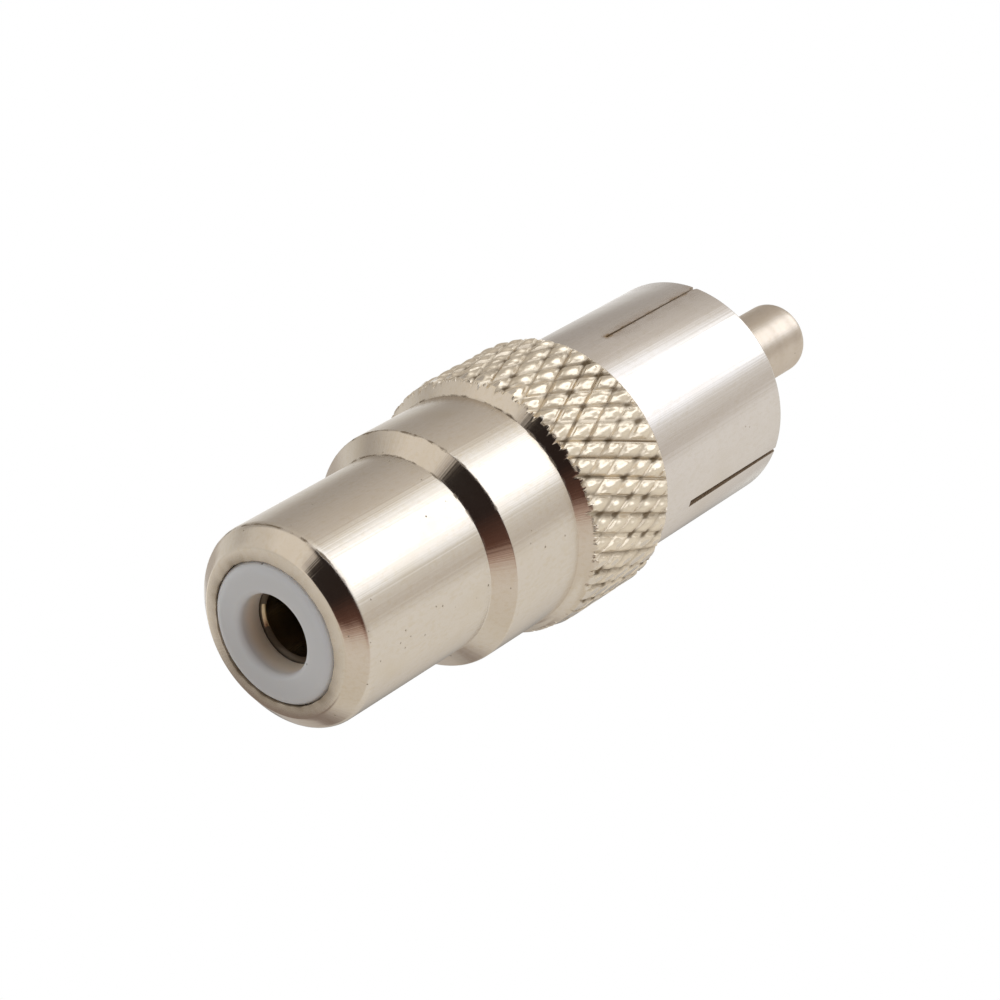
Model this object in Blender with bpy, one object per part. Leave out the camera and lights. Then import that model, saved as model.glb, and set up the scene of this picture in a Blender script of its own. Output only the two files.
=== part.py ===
"""Phono (RCA) adapter: a socket at one end and a plug at the other, on one axis.

Units are metres and +Z is up. The adapter stands on its socket face: Z is its axis and
points from the socket to the plug's pin, and the origin is the centre of the socket face.
Every turned piece is a closed outline of (radius, height) points spun about Z.
"""

import math

import bmesh
import bpy

MM = 0.001

# Gap between pieces that are pressed or laid together
SEAT_CLEARANCE = 0.06 * MM

# The two standard sizes that mate, at both ends: the pin and the socket's barrel
PIN_RADIUS = 1.59 * MM
BARREL_RADIUS = 4.15 * MM

# Socket end of the turned body
FACE_PROUD = 0.16 * MM
BARREL_LENGTH = 7.71 * MM
NOSE_CHAMFER_WIDTH = 0.69 * MM
NOSE_CHAMFER_LENGTH = 0.62 * MM
NOSE_BULGE = 0.05 * MM
LIP_OVERLAP = 0.04 * MM
LIP_LAND = 0.10 * MM
LIP_TAPER = 0.34 * MM

# Shoulder, plain body and knurled collar
SHOULDER_WIDTH = 0.80 * MM
SHOULDER_LENGTH = 0.67 * MM
BODY_LENGTH = 3.87 * MM
COLLAR_WALL = 0.96 * MM
COLLAR_LENGTH = 5.54 * MM
COLLAR_FRONT_CHAMFER = 0.56 * MM
COLLAR_REAR_CHAMFER_WIDTH = 0.32 * MM
COLLAR_REAR_CHAMFER_LENGTH = 0.40 * MM

# Diamond knurl rolled on the collar
KNURL_GROOVES = 42
KNURL_ROW_PITCH = 1.0 * MM
KNURL_DEPTH = 0.33 * MM
KNURL_TOOTH_HEIGHT = 0.40 * MM
KNURL_RUN_OUT = 0.14 * MM

# Bores of the body, from the plug end: a counterbore for the sleeve, then a web
COUNTERBORE_DEPTH = 4.35 * MM
WEB_LENGTH = 2.0 * MM

# Slotted sleeve of the plug
SLEEVE_LENGTH = 9.02 * MM
SLEEVE_WALL = 0.75 * MM
SLEEVE_EDGE = 0.12 * MM
SPIGOT_WALL = 0.45 * MM
SLOT_WIDTH = 0.22 * MM
SLOT_LENGTH = 6.47 * MM
SECOND_CUT_ANGLE = math.radians(13.0)

# White insulator of the socket
INSULATOR_WALL = 1.00 * MM
INSULATOR_EDGE_RADIUS = 0.72 * MM
NECK_STEP = 0.25 * MM
MOUTH_CLEARANCE = 0.03 * MM
MOUTH_ROUNDING = 0.25 * MM

# Split contact behind the insulator's mouth
CONTACT_DEPTH = 1.20 * MM
CONTACT_WALL = 0.36 * MM
CONTACT_GRIP = 0.15 * MM
CONTACT_LEAD_IN = 0.30 * MM
CONTACT_FLANGE_WIDTH = 0.35 * MM
CONTACT_FLANGE_LENGTH = 0.60 * MM
CONTACT_SHORT_OF_COLLAR = 1.0 * MM
CONTACT_SLOT_WIDTH = 0.35 * MM
CONTACT_SLOT_LENGTH = 6.0 * MM

# White insulator of the plug
PLUG_FACE_RISE = 0.85 * MM
PLUG_FLANGE_LENGTH = 1.30 * MM

# Centre pin of the plug
PIN_REACH = 7.33 * MM
PIN_TIP_ROUNDING = 0.60 * MM
PIN_TAIL_LENGTH = 1.20 * MM

# Facets round each turned piece: two per knurl groove on the body, so that they line up
BODY_STEPS = 2 * KNURL_GROOVES
INSULATOR_STEPS = 48
CORE_STEPS = 48
ARC_STEPS = 5

# Heights of the faces along the axis, worked out from the lengths above
RIM_Z = FACE_PROUD
SHOULDER_Z = RIM_Z + BARREL_LENGTH
BODY_Z = SHOULDER_Z + SHOULDER_LENGTH
COLLAR_Z = BODY_Z + BODY_LENGTH
COLLAR_END_Z = COLLAR_Z + COLLAR_LENGTH
COUNTERBORE_Z = COLLAR_END_Z - COUNTERBORE_DEPTH
WEB_Z = COUNTERBORE_Z - WEB_LENGTH
SLEEVE_END_Z = COLLAR_END_Z + SLEEVE_LENGTH
PLUG_FACE_Z = COLLAR_END_Z + PLUG_FACE_RISE
CONTACT_END_Z = COLLAR_END_Z - CONTACT_SHORT_OF_COLLAR
PIN_END_Z = SLEEVE_END_Z + PIN_REACH

# Radii, worked out from the two mating sizes and the walls
CONTACT_RADIUS = PIN_RADIUS + CONTACT_WALL
CONTACT_FLANGE_RADIUS = CONTACT_RADIUS + CONTACT_FLANGE_WIDTH
INSULATOR_RADIUS = CONTACT_RADIUS + INSULATOR_WALL
NECK_RADIUS = INSULATOR_RADIUS - NECK_STEP
BODY_RADIUS = BARREL_RADIUS + SHOULDER_WIDTH
RIM_INNER_RADIUS = INSULATOR_RADIUS - LIP_OVERLAP
RIM_OUTER_RADIUS = BARREL_RADIUS - NOSE_CHAMFER_WIDTH
BODY_BORE_RADIUS = INSULATOR_RADIUS + SEAT_CLEARANCE
WEB_BORE_RADIUS = NECK_RADIUS + SEAT_CLEARANCE
SLEEVE_BORE_RADIUS = BARREL_RADIUS
SLEEVE_RADIUS = SLEEVE_BORE_RADIUS + SLEEVE_WALL
SPIGOT_RADIUS = SLEEVE_BORE_RADIUS + SPIGOT_WALL
COUNTERBORE_RADIUS = SPIGOT_RADIUS + SEAT_CLEARANCE
COLLAR_RADIUS = COUNTERBORE_RADIUS + COLLAR_WALL
CONTACT_BORE_RADIUS = PIN_RADIUS - CONTACT_GRIP
MOUTH_RADIUS = PIN_RADIUS + MOUTH_CLEARANCE


def clear_scene():
    """Remove every object that the scene starts with."""
    for thing in list(bpy.data.objects):
        bpy.data.objects.remove(thing, do_unlink=True)


def finish(name, colour, roughness, metallic):
    """A Principled material in one colour, linear RGB."""
    made = bpy.data.materials.new(name)
    made.use_nodes = True
    shader = made.node_tree.nodes["Principled BSDF"]
    shader.inputs["Base Color"].default_value = (*colour, 1.0)
    shader.inputs["Roughness"].default_value = roughness
    shader.inputs["Metallic"].default_value = metallic
    return made


def arc(centre, radius, start, end, steps=ARC_STEPS):
    """Points on an arc in the outline plane, angles in degrees from the radial direction."""
    angles = [math.radians(start + (end - start) * step / steps) for step in range(steps + 1)]
    return [
        (centre[0] + radius * math.cos(angle), centre[1] + radius * math.sin(angle))
        for angle in angles
    ]


def add_object(name, shape, surface=None):
    """Turn a bmesh into an object, shaded smooth across shallow edges."""
    mesh = bpy.data.meshes.new(name)
    shape.to_mesh(mesh)
    shape.free()
    mesh.shade_smooth()
    mesh.set_sharp_from_angle(angle=math.radians(25))
    made = bpy.data.objects.new(name, mesh)
    bpy.context.scene.collection.objects.link(made)
    if surface:
        mesh.materials.append(surface)
    return made


def turned(name, outline, steps, surface):
    """Spin an outline of (radius, height) points about Z.

    The outline closes on itself, unless it starts and ends on the axis.
    """
    shape = bmesh.new()
    points = [shape.verts.new((radius, 0.0, height)) for radius, height in outline]
    on_axis = outline[0][0] == 0.0 and outline[-1][0] == 0.0
    following = points[1:] if on_axis else points[1:] + points[:1]
    edges = [shape.edges.new(pair) for pair in zip(points, following)]
    bmesh.ops.spin(
        shape,
        geom=points + edges,
        cent=(0.0, 0.0, 0.0),
        axis=(0.0, 0.0, 1.0),
        angle=math.tau,
        steps=steps,
        use_merge=True,
    )
    bmesh.ops.remove_doubles(shape, verts=shape.verts, dist=0.0001 * MM)
    bmesh.ops.recalc_face_normals(shape, faces=shape.faces)
    return add_object(name, shape, surface)


def hide_cutter(cutter):
    """Keep a cutter out of the model: it only shapes other objects."""
    cutter.hide_render = True
    cutter.display_type = "WIRE"


def subtract(target, cutter):
    """Take the cutter's volume out of the target."""
    hide_cutter(cutter)
    modifier = target.modifiers.new(cutter.name, "BOOLEAN")
    modifier.operation = "DIFFERENCE"
    modifier.solver = "EXACT"
    modifier.object = cutter


def saw_blade(name, width, reach, low, high, angle):
    """A thin upright plate through the axis: one diametral saw cut makes two slots."""
    shape = bmesh.new()
    bmesh.ops.create_cube(shape, size=1.0)
    bmesh.ops.scale(shape, vec=(2 * reach, width, high - low), verts=shape.verts)
    bmesh.ops.translate(shape, vec=(0.0, 0.0, (low + high) / 2), verts=shape.verts)
    blade = add_object(name, shape)
    blade.rotation_euler.z = angle
    return blade


def knurl_tool():
    """A ring whose inner face is the knurl's negative.

    Grooves of two opposite helices cross on a lattice. Where they cross the ring's inner
    face is lowest, and halfway between it stands up as the apex of a four-sided tooth. The
    apex lies above the collar's own radius, so each tooth keeps a small flat of the turned
    surface. Each lattice cell is split along its groove.
    """
    root = COLLAR_RADIUS - KNURL_DEPTH
    apex = root + KNURL_TOOTH_HEIGHT
    outside = apex + KNURL_DEPTH
    start = COLLAR_Z - KNURL_RUN_OUT
    rows = math.ceil((COLLAR_END_Z + KNURL_RUN_OUT - start) / KNURL_ROW_PITCH)
    columns = 2 * KNURL_GROOVES
    shape = bmesh.new()

    def ring(row, radii):
        height = start + row * KNURL_ROW_PITCH
        made = []
        for column in range(columns):
            angle = math.tau * column / columns
            radius = radii[(row + column) % 2]
            made.append(shape.verts.new((radius * math.cos(angle), radius * math.sin(angle), height)))
        return made

    inner = [ring(row, (apex, root)) for row in range(rows + 1)]
    outer = [ring(row, (outside, outside)) for row in (0, rows)]
    for row in range(rows):
        for column in range(columns):
            after = (column + 1) % columns
            near, right = inner[row][column], inner[row][after]
            above, far = inner[row + 1][column], inner[row + 1][after]
            if (row + column) % 2:
                shape.faces.new((near, far, right))
                shape.faces.new((near, above, far))
            else:
                shape.faces.new((near, above, right))
                shape.faces.new((above, far, right))
    for column in range(columns):
        after = (column + 1) % columns
        shape.faces.new((outer[0][column], outer[0][after], outer[1][after], outer[1][column]))
        shape.faces.new((inner[0][column], inner[0][after], outer[0][after], outer[0][column]))
        shape.faces.new((inner[-1][after], inner[-1][column], outer[1][column], outer[1][after]))
    bmesh.ops.recalc_face_normals(shape, faces=shape.faces)
    return add_object("knurl_tool", shape)


def build_jack_body(surface):
    """Turned body: crimped nose, barrel, shoulder, plain body and knurled collar."""
    nose_middle = (
        (RIM_OUTER_RADIUS + BARREL_RADIUS) / 2 + NOSE_BULGE,
        RIM_Z + NOSE_CHAMFER_LENGTH / 2 - NOSE_BULGE,
    )
    outline = [
        (RIM_INNER_RADIUS, RIM_Z),
        (RIM_OUTER_RADIUS, RIM_Z),
        nose_middle,
        (BARREL_RADIUS, RIM_Z + NOSE_CHAMFER_LENGTH),
        (BARREL_RADIUS, SHOULDER_Z),
        (BODY_RADIUS, BODY_Z),
        (BODY_RADIUS, COLLAR_Z),
        (COLLAR_RADIUS, COLLAR_Z + COLLAR_FRONT_CHAMFER),
        (COLLAR_RADIUS, COLLAR_END_Z - COLLAR_REAR_CHAMFER_LENGTH),
        (COLLAR_RADIUS - COLLAR_REAR_CHAMFER_WIDTH, COLLAR_END_Z),
        (COUNTERBORE_RADIUS, COLLAR_END_Z),
        (COUNTERBORE_RADIUS, COUNTERBORE_Z),
        (WEB_BORE_RADIUS, COUNTERBORE_Z),
        (WEB_BORE_RADIUS, WEB_Z),
        (BODY_BORE_RADIUS, WEB_Z),
        (BODY_BORE_RADIUS, RIM_Z + LIP_LAND + LIP_TAPER),
        (RIM_INNER_RADIUS, RIM_Z + LIP_LAND),
    ]
    body = turned("jack_body", outline, BODY_STEPS, surface)
    subtract(body, knurl_tool())


def build_plug_sleeve(surface):
    """Sleeve with a spigot in the collar, sawn across twice into four spring fingers."""
    spigot_start = COUNTERBORE_Z + PLUG_FLANGE_LENGTH + 2 * SEAT_CLEARANCE
    shoulder = COLLAR_END_Z + SEAT_CLEARANCE
    outline = [
        (SLEEVE_BORE_RADIUS, spigot_start),
        (SPIGOT_RADIUS, spigot_start),
        (SPIGOT_RADIUS, shoulder),
        (SLEEVE_RADIUS, shoulder),
        (SLEEVE_RADIUS, SLEEVE_END_Z - SLEEVE_EDGE),
        (SLEEVE_RADIUS - SLEEVE_EDGE, SLEEVE_END_Z),
        (SLEEVE_BORE_RADIUS + SLEEVE_EDGE, SLEEVE_END_Z),
        (SLEEVE_BORE_RADIUS, SLEEVE_END_Z - SLEEVE_EDGE),
    ]
    sleeve = turned("plug_sleeve", outline, BODY_STEPS, surface)
    low = SLEEVE_END_Z - SLOT_LENGTH
    high = SLEEVE_END_Z + SLEEVE_WALL
    reach = SLEEVE_RADIUS + SLEEVE_WALL
    cuts = {"first_saw_cut": math.pi / 2, "second_saw_cut": SECOND_CUT_ANGLE}
    for name, angle in cuts.items():
        subtract(sleeve, saw_blade(name, SLOT_WIDTH, reach, low, high, angle))


def build_jack_insulator(surface):
    """White bush of the socket, held by the rim rolled over its rounded edge."""
    edge = INSULATOR_EDGE_RADIUS
    rounding = MOUTH_ROUNDING
    contact_bore = CONTACT_RADIUS + SEAT_CLEARANCE
    contact_seat = CONTACT_DEPTH - SEAT_CLEARANCE
    neck_start = WEB_Z - SEAT_CLEARANCE
    outline = [
        *arc((MOUTH_RADIUS + rounding, rounding), rounding, 180, 270, 3),
        *arc((INSULATOR_RADIUS - edge, edge), edge, 270, 360),
        (INSULATOR_RADIUS, neck_start),
        (NECK_RADIUS, neck_start),
        (NECK_RADIUS, COUNTERBORE_Z),
        (contact_bore, COUNTERBORE_Z),
        (contact_bore, contact_seat),
        (MOUTH_RADIUS, contact_seat),
    ]
    turned("jack_insulator", outline, INSULATOR_STEPS, surface)


def build_socket_contact(surface):
    """Split tube that grips the mating pin, its flange trapped between the insulators."""
    flange_start = COUNTERBORE_Z + SEAT_CLEARANCE
    flange_end = flange_start + CONTACT_FLANGE_LENGTH
    outline = [
        (CONTACT_BORE_RADIUS + CONTACT_GRIP, CONTACT_DEPTH),
        (CONTACT_RADIUS, CONTACT_DEPTH),
        (CONTACT_RADIUS, flange_start),
        (CONTACT_FLANGE_RADIUS, flange_start),
        (CONTACT_FLANGE_RADIUS, flange_end),
        (CONTACT_RADIUS, flange_end),
        (CONTACT_RADIUS, CONTACT_END_Z),
        (CONTACT_BORE_RADIUS, CONTACT_END_Z),
        (CONTACT_BORE_RADIUS, CONTACT_DEPTH + CONTACT_LEAD_IN),
    ]
    contact = turned("socket_contact", outline, CORE_STEPS, surface)
    blade = saw_blade(
        "contact_saw_cut",
        CONTACT_SLOT_WIDTH,
        CONTACT_RADIUS + CONTACT_SLOT_WIDTH,
        CONTACT_DEPTH - CONTACT_SLOT_WIDTH,
        CONTACT_DEPTH + CONTACT_SLOT_LENGTH,
        0.0,
    )
    subtract(contact, blade)


def build_plug_insulator(surface):
    """White bush in the sleeve's root, its flange held between the body and the spigot."""
    front = COUNTERBORE_Z + SEAT_CLEARANCE
    flange_end = front + PLUG_FLANGE_LENGTH
    recess_radius = CONTACT_FLANGE_RADIUS + SEAT_CLEARANCE
    recess_end = COUNTERBORE_Z + CONTACT_FLANGE_LENGTH + 2 * SEAT_CLEARANCE
    contact_bore = CONTACT_RADIUS + SEAT_CLEARANCE
    pin_bore = PIN_RADIUS + SEAT_CLEARANCE
    bush_radius = SLEEVE_BORE_RADIUS - SEAT_CLEARANCE
    contact_end = CONTACT_END_Z + SEAT_CLEARANCE
    outline = [
        (recess_radius, front),
        (SPIGOT_RADIUS, front),
        (SPIGOT_RADIUS, flange_end),
        (bush_radius, flange_end),
        (bush_radius, PLUG_FACE_Z),
        (pin_bore, PLUG_FACE_Z),
        (pin_bore, contact_end),
        (contact_bore, contact_end),
        (contact_bore, recess_end),
        (recess_radius, recess_end),
    ]
    turned("plug_insulator", outline, INSULATOR_STEPS, surface)


def build_centre_pin(surface):
    """Round-nosed pin of the plug, with a tail in the back of the socket's contact."""
    tail_radius = CONTACT_BORE_RADIUS - SEAT_CLEARANCE
    shoulder = CONTACT_END_Z + SEAT_CLEARANCE
    tip_centre = (PIN_RADIUS - PIN_TIP_ROUNDING, PIN_END_Z - PIN_TIP_ROUNDING)
    outline = [
        (0.0, shoulder - PIN_TAIL_LENGTH),
        (tail_radius, shoulder - PIN_TAIL_LENGTH),
        (tail_radius, shoulder),
        (PIN_RADIUS, shoulder),
        *arc(tip_centre, PIN_TIP_ROUNDING, 0, 90),
        (0.0, PIN_END_Z),
    ]
    turned("centre_pin", outline, CORE_STEPS, surface)


def main():
    """Build the adapter's six pieces."""
    clear_scene()
    nickel = finish("nickel_plated_brass", (0.62, 0.57, 0.51), 0.26, 1.0)
    bright_nickel = finish("bright_nickel", (0.66, 0.63, 0.60), 0.20, 1.0)
    contact_metal = finish("contact_nickel", (0.50, 0.43, 0.33), 0.30, 1.0)
    white_plastic = finish("white_plastic", (0.72, 0.73, 0.73), 0.45, 0.0)
    build_jack_body(nickel)
    build_plug_sleeve(bright_nickel)
    build_jack_insulator(white_plastic)
    build_socket_contact(contact_metal)
    build_plug_insulator(white_plastic)
    build_centre_pin(bright_nickel)


main()
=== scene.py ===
"""Looks of an RCA (phono) adapter: nickel-plated turned brass with white insulators.

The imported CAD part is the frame. It stands on its socket face: +Z is the adapter's axis and
points from the socket to the plug's pin. Sizes below are in millimetres and are turned into
metres by MM where a mesh is made.

The photograph shows the adapter lying down and seen from its socket end, so in this frame
the camera looks up at it from below the floor. The floor is a one-sided sheet, seen only
from above, and the studio round the adapter is drawn in the world.
"""

from __future__ import annotations

import logging
import math
from dataclasses import dataclass, field
from enum import Enum
from typing import Any

import bmesh
import bpy
import numpy as np
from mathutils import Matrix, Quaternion, Vector

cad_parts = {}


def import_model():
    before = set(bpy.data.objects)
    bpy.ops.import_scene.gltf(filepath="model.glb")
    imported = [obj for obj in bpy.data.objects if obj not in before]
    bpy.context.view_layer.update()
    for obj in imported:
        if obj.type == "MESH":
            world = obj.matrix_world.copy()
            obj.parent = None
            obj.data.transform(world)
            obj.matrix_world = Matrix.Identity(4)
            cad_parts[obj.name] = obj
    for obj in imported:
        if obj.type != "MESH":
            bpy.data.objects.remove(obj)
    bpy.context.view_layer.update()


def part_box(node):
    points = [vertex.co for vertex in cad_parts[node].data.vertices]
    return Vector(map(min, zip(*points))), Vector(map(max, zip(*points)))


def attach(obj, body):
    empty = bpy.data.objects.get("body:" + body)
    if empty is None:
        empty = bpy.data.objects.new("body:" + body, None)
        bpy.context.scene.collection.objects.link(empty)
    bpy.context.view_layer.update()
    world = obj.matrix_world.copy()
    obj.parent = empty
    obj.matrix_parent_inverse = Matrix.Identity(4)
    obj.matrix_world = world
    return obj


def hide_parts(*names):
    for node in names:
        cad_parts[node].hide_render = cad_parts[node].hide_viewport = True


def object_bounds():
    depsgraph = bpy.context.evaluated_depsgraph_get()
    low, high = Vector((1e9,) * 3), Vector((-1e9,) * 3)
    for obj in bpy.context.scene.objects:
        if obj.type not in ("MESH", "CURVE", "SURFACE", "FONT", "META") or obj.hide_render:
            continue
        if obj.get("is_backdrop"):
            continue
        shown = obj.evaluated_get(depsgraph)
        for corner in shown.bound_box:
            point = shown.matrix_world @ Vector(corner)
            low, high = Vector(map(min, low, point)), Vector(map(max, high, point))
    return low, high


LOG = logging.getLogger("rca_adapter")

MM = 0.001
ROOT_BODY = "root"
Socket = bpy.types.NodeSocket

# Setting of a Map Range node that eases in and out
EASED = {"interpolation_type": "SMOOTHSTEP"}

# Angles between facets, in degrees, from which an edge looks sharp
SHARP_EDGE = 35.0
SHARP_TOOTH = 26.0

# Corners of the box that the frame gives
LOWEST = 0
HIGHEST = 1

# Facets round a turned piece. The collar has sixteen to a knurl groove, so that they line up.
KNURL_GROOVES = 42
FACETS_PER_GROOVE = 16
COLLAR_STEPS = KNURL_GROOVES * FACETS_PER_GROOVE
BODY_STEPS = 320
SLEEVE_STEPS = 288
SMALL_STEPS = 160


class Slot(Enum):
    """Material slots of the part's record."""

    BODY = "body_plating"
    SLEEVE = "sleeve_plating"
    CONTACT = "contact_metal"
    INSULATOR = "white_insulator"


# --------------------------------------------------------------------------- helpers


def linear(colour: str) -> tuple[float, float, float, float]:
    """Turn an sRGB hex colour into linear RGBA.

    Args:
        colour: Six hex digits after a hash sign.

    Returns:
        The linear colour with an alpha of one.
    """
    values = [int(colour[at : at + 2], 16) / 255 for at in (1, 3, 5)]
    made = [v / 12.92 if v <= 0.04045 else ((v + 0.055) / 1.055) ** 2.4 for v in values]
    return (made[0], made[1], made[2], 1.0)


def direction(azimuth: float, elevation: float) -> Vector:
    """A unit vector.

    Args:
        azimuth: Degrees from +X, counted towards +Y.
        elevation: Degrees above the horizon.

    Returns:
        The vector.
    """
    turn, rise = math.radians(azimuth), math.radians(elevation)
    return Vector(
        (math.cos(rise) * math.cos(turn), math.cos(rise) * math.sin(turn), math.sin(rise))
    )


def per_metre(*spacings: float) -> tuple[float, ...]:
    """Pattern scales for spacings in millimetres, one for each direction."""
    return tuple(1 / (spacing * MM) for spacing in spacings)


@dataclass(frozen=True)
class NodeGraph:
    """The nodes of a material or of the world.

    Attributes:
        tree: The node tree that they are in.
    """

    tree: bpy.types.NodeTree

    def feed(self, entry: Socket, value: Any) -> None:
        """Give an input a value, or link an output to it."""
        if isinstance(value, Socket):
            self.tree.links.new(value, entry)
        else:
            entry.default_value = value

    def add(
        self,
        kind: str,
        *values: Any,
        inputs: dict[str | int, Any] | None = None,
        output: str | int = 0,
        **settings: Any,
    ) -> Socket:
        """Add a node with its settings, values and links.

        Args:
            kind: The node's type, less the word ShaderNode.
            values: Values or output sockets for its first inputs, in order.
            inputs: The same for other inputs, by their name or number.
            output: Name or number of the output that is wanted.
            settings: Properties of the node itself.

        Returns:
            The output.
        """
        node = self.tree.nodes.new("ShaderNode" + kind)
        for name, value in settings.items():
            setattr(node, name, value)
        for key, value in {**dict(enumerate(values)), **(inputs or {})}.items():
            self.feed(node.inputs[key], value)
        return node.outputs[output]

    def set_shader(self, values: dict[str, Any]) -> Socket:
        """Set inputs of the material's Principled shader.

        Args:
            values: Values or output sockets by the input's name.

        Returns:
            The shader's output.
        """
        shader = self.tree.nodes["Principled BSDF"]
        for name, value in values.items():
            self.feed(shader.inputs[name], value)
        return shader.outputs[0]

    def layered(self, colour: Any, *layers: tuple[Any, Any]) -> Socket:
        """Lay colours over a colour, one after the other.

        Args:
            colour: The lowest colour, or its socket.
            layers: How much shows of each colour above it, and that colour.

        Returns:
            The colour that results.
        """
        for share, over in layers:
            pair = {6: colour, 7: over}
            colour = self.add("Mix", share, inputs=pair, output=2, data_type="RGBA")
        return colour

    def mottled(
        self, where: Socket, spacings: tuple[float, float, float], detail: float = 2.0
    ) -> Socket:
        """Noise with its own spacing along each axis.

        Args:
            where: The coordinates, in metres.
            spacings: Spacing along X, Y and Z, in millimetres.
            detail: Octaves of the noise.

        Returns:
            The noise, from 0 to 1.
        """
        scaled = self.add("Mapping", where, inputs={"Scale": per_metre(*spacings)})
        return self.add("TexNoise", scaled, inputs={"Scale": 1.0, "Detail": detail})

    def specks(self, where: Socket, spacing: float, size: float) -> Socket:
        """Small round specks of uneven size, strewn evenly.

        Args:
            where: The coordinates, in metres.
            spacing: Spacing of the specks, in millimetres.
            size: Radius of the largest, in millimetres.

        Returns:
            1 in a speck and 0 outside.
        """
        scale = per_metre(spacing, spacing, spacing)
        scaled = self.add("Mapping", where, inputs={"Scale": scale})
        distance = self.add("TexVoronoi", scaled, inputs={"Scale": 1.0})
        random = self.add("SeparateColor", distance.node.outputs["Color"])
        reach = self.add("Math", random, size / spacing, operation="MULTIPLY")
        inside = self.add("Math", distance, reach, operation="DIVIDE")
        return self.add("MapRange", inside, 1.0, 0.5, **EASED)


def new_material(name: str) -> tuple[bpy.types.Material, NodeGraph]:
    """Make a material with a Principled shader.

    Args:
        name: Its name.

    Returns:
        The material and its nodes.
    """
    material = bpy.data.materials.new(name)
    material.use_nodes = True
    return material, NodeGraph(material.node_tree)


def select_only(piece: bpy.types.Object) -> None:
    """Make one object the only selected and the active one."""
    bpy.ops.object.select_all(action="DESELECT")
    piece.select_set(True)
    bpy.context.view_layer.objects.active = piece


def select_vertices_at(piece: bpy.types.Object, place: Vector) -> None:
    """Select the vertex nearest to a place, in edit mode, and nothing else.

    Args:
        piece: The object in edit mode.
        place: The place, in metres.
    """
    shape = bmesh.from_edit_mesh(piece.data)
    for vertex in shape.verts:
        vertex.select_set(False)
    nearest = min(shape.verts, key=lambda vertex: (vertex.co - place).length)
    nearest.select_set(True)
    shape.select_flush_mode()
    bmesh.update_edit_mesh(piece.data)


def radii_and_angles(points: np.ndarray) -> tuple[np.ndarray, np.ndarray]:
    """Distance from the axis in millimetres and angle round it in degrees.

    Args:
        points: Coordinates in metres, one row a point.

    Returns:
        The radii and the angles.
    """
    radii = np.hypot(points[:, 0], points[:, 1]) / MM
    angles = np.degrees(np.arctan2(points[:, 1], points[:, 0]))
    return radii, angles


def smooth_step(values: np.ndarray, low: float, high: float) -> np.ndarray:
    """Ease from 0 at low to 1 at high.

    Args:
        values: Where to evaluate it.
        low: Where the step starts.
        high: Where the step ends.

    Returns:
        The step at each value.
    """
    share = np.clip((values - low) / (high - low), 0, 1)
    return share * share * (3 - 2 * share)


def coordinates(piece: bpy.types.Object) -> np.ndarray:
    """The piece's vertices as one row a point, in metres."""
    points = np.empty(len(piece.data.vertices) * 3)
    piece.data.vertices.foreach_get("co", points)
    return points.reshape(-1, 3)


def move_vertices(piece: bpy.types.Object, points: np.ndarray) -> None:
    """Write moved vertices back to the piece."""
    piece.data.vertices.foreach_set("co", points.astype(np.float32).ravel())
    piece.data.update()


def note(piece: bpy.types.Object, name: str, values: Any, domain: str = "POINT") -> None:
    """Store a value at each vertex or face for the finish to read.

    Args:
        piece: The piece.
        name: Name of the attribute.
        values: One value a vertex or a face.
        domain: POINT for vertices, or FACE.
    """
    attribute = piece.data.attributes.new(name, "FLOAT", domain)
    attribute.data.foreach_set("value", np.asarray(values, dtype=np.float32))


def shade_smooth(piece: bpy.types.Object, sharp_from: float = SHARP_EDGE) -> None:
    """Shade a piece smooth, apart from edges sharper than an angle in degrees."""
    select_only(piece)
    bpy.ops.object.shade_smooth_by_angle(angle=math.radians(sharp_from))


def from_frame(node: str, corner: int, axis: str = "z") -> Any:
    """A dataclass field whose value comes from a CAD node's box.

    Args:
        node: The CAD node.
        corner: LOWEST or HIGHEST corner of its box.
        axis: Which coordinate of the corner.

    Returns:
        The field, in millimetres.
    """
    return field(default_factory=lambda: getattr(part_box(node)[corner], axis) / MM)


# --------------------------------------------------------------------------- turning


@dataclass(frozen=True)
class Corner:
    """A corner of a turned outline, in millimetres.

    Attributes:
        radius: Distance from the axis.
        height: Height along the axis.
        rounding: How far along its two edges the corner is rounded.
        segments: Facets of the rounding.
    """

    radius: float
    height: float
    rounding: float = 0.0
    segments: int = 4

    def place(self) -> Vector:
        """The corner in metres, on the XZ plane."""
        return Vector((self.radius * MM, 0.0, self.height * MM))


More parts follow.
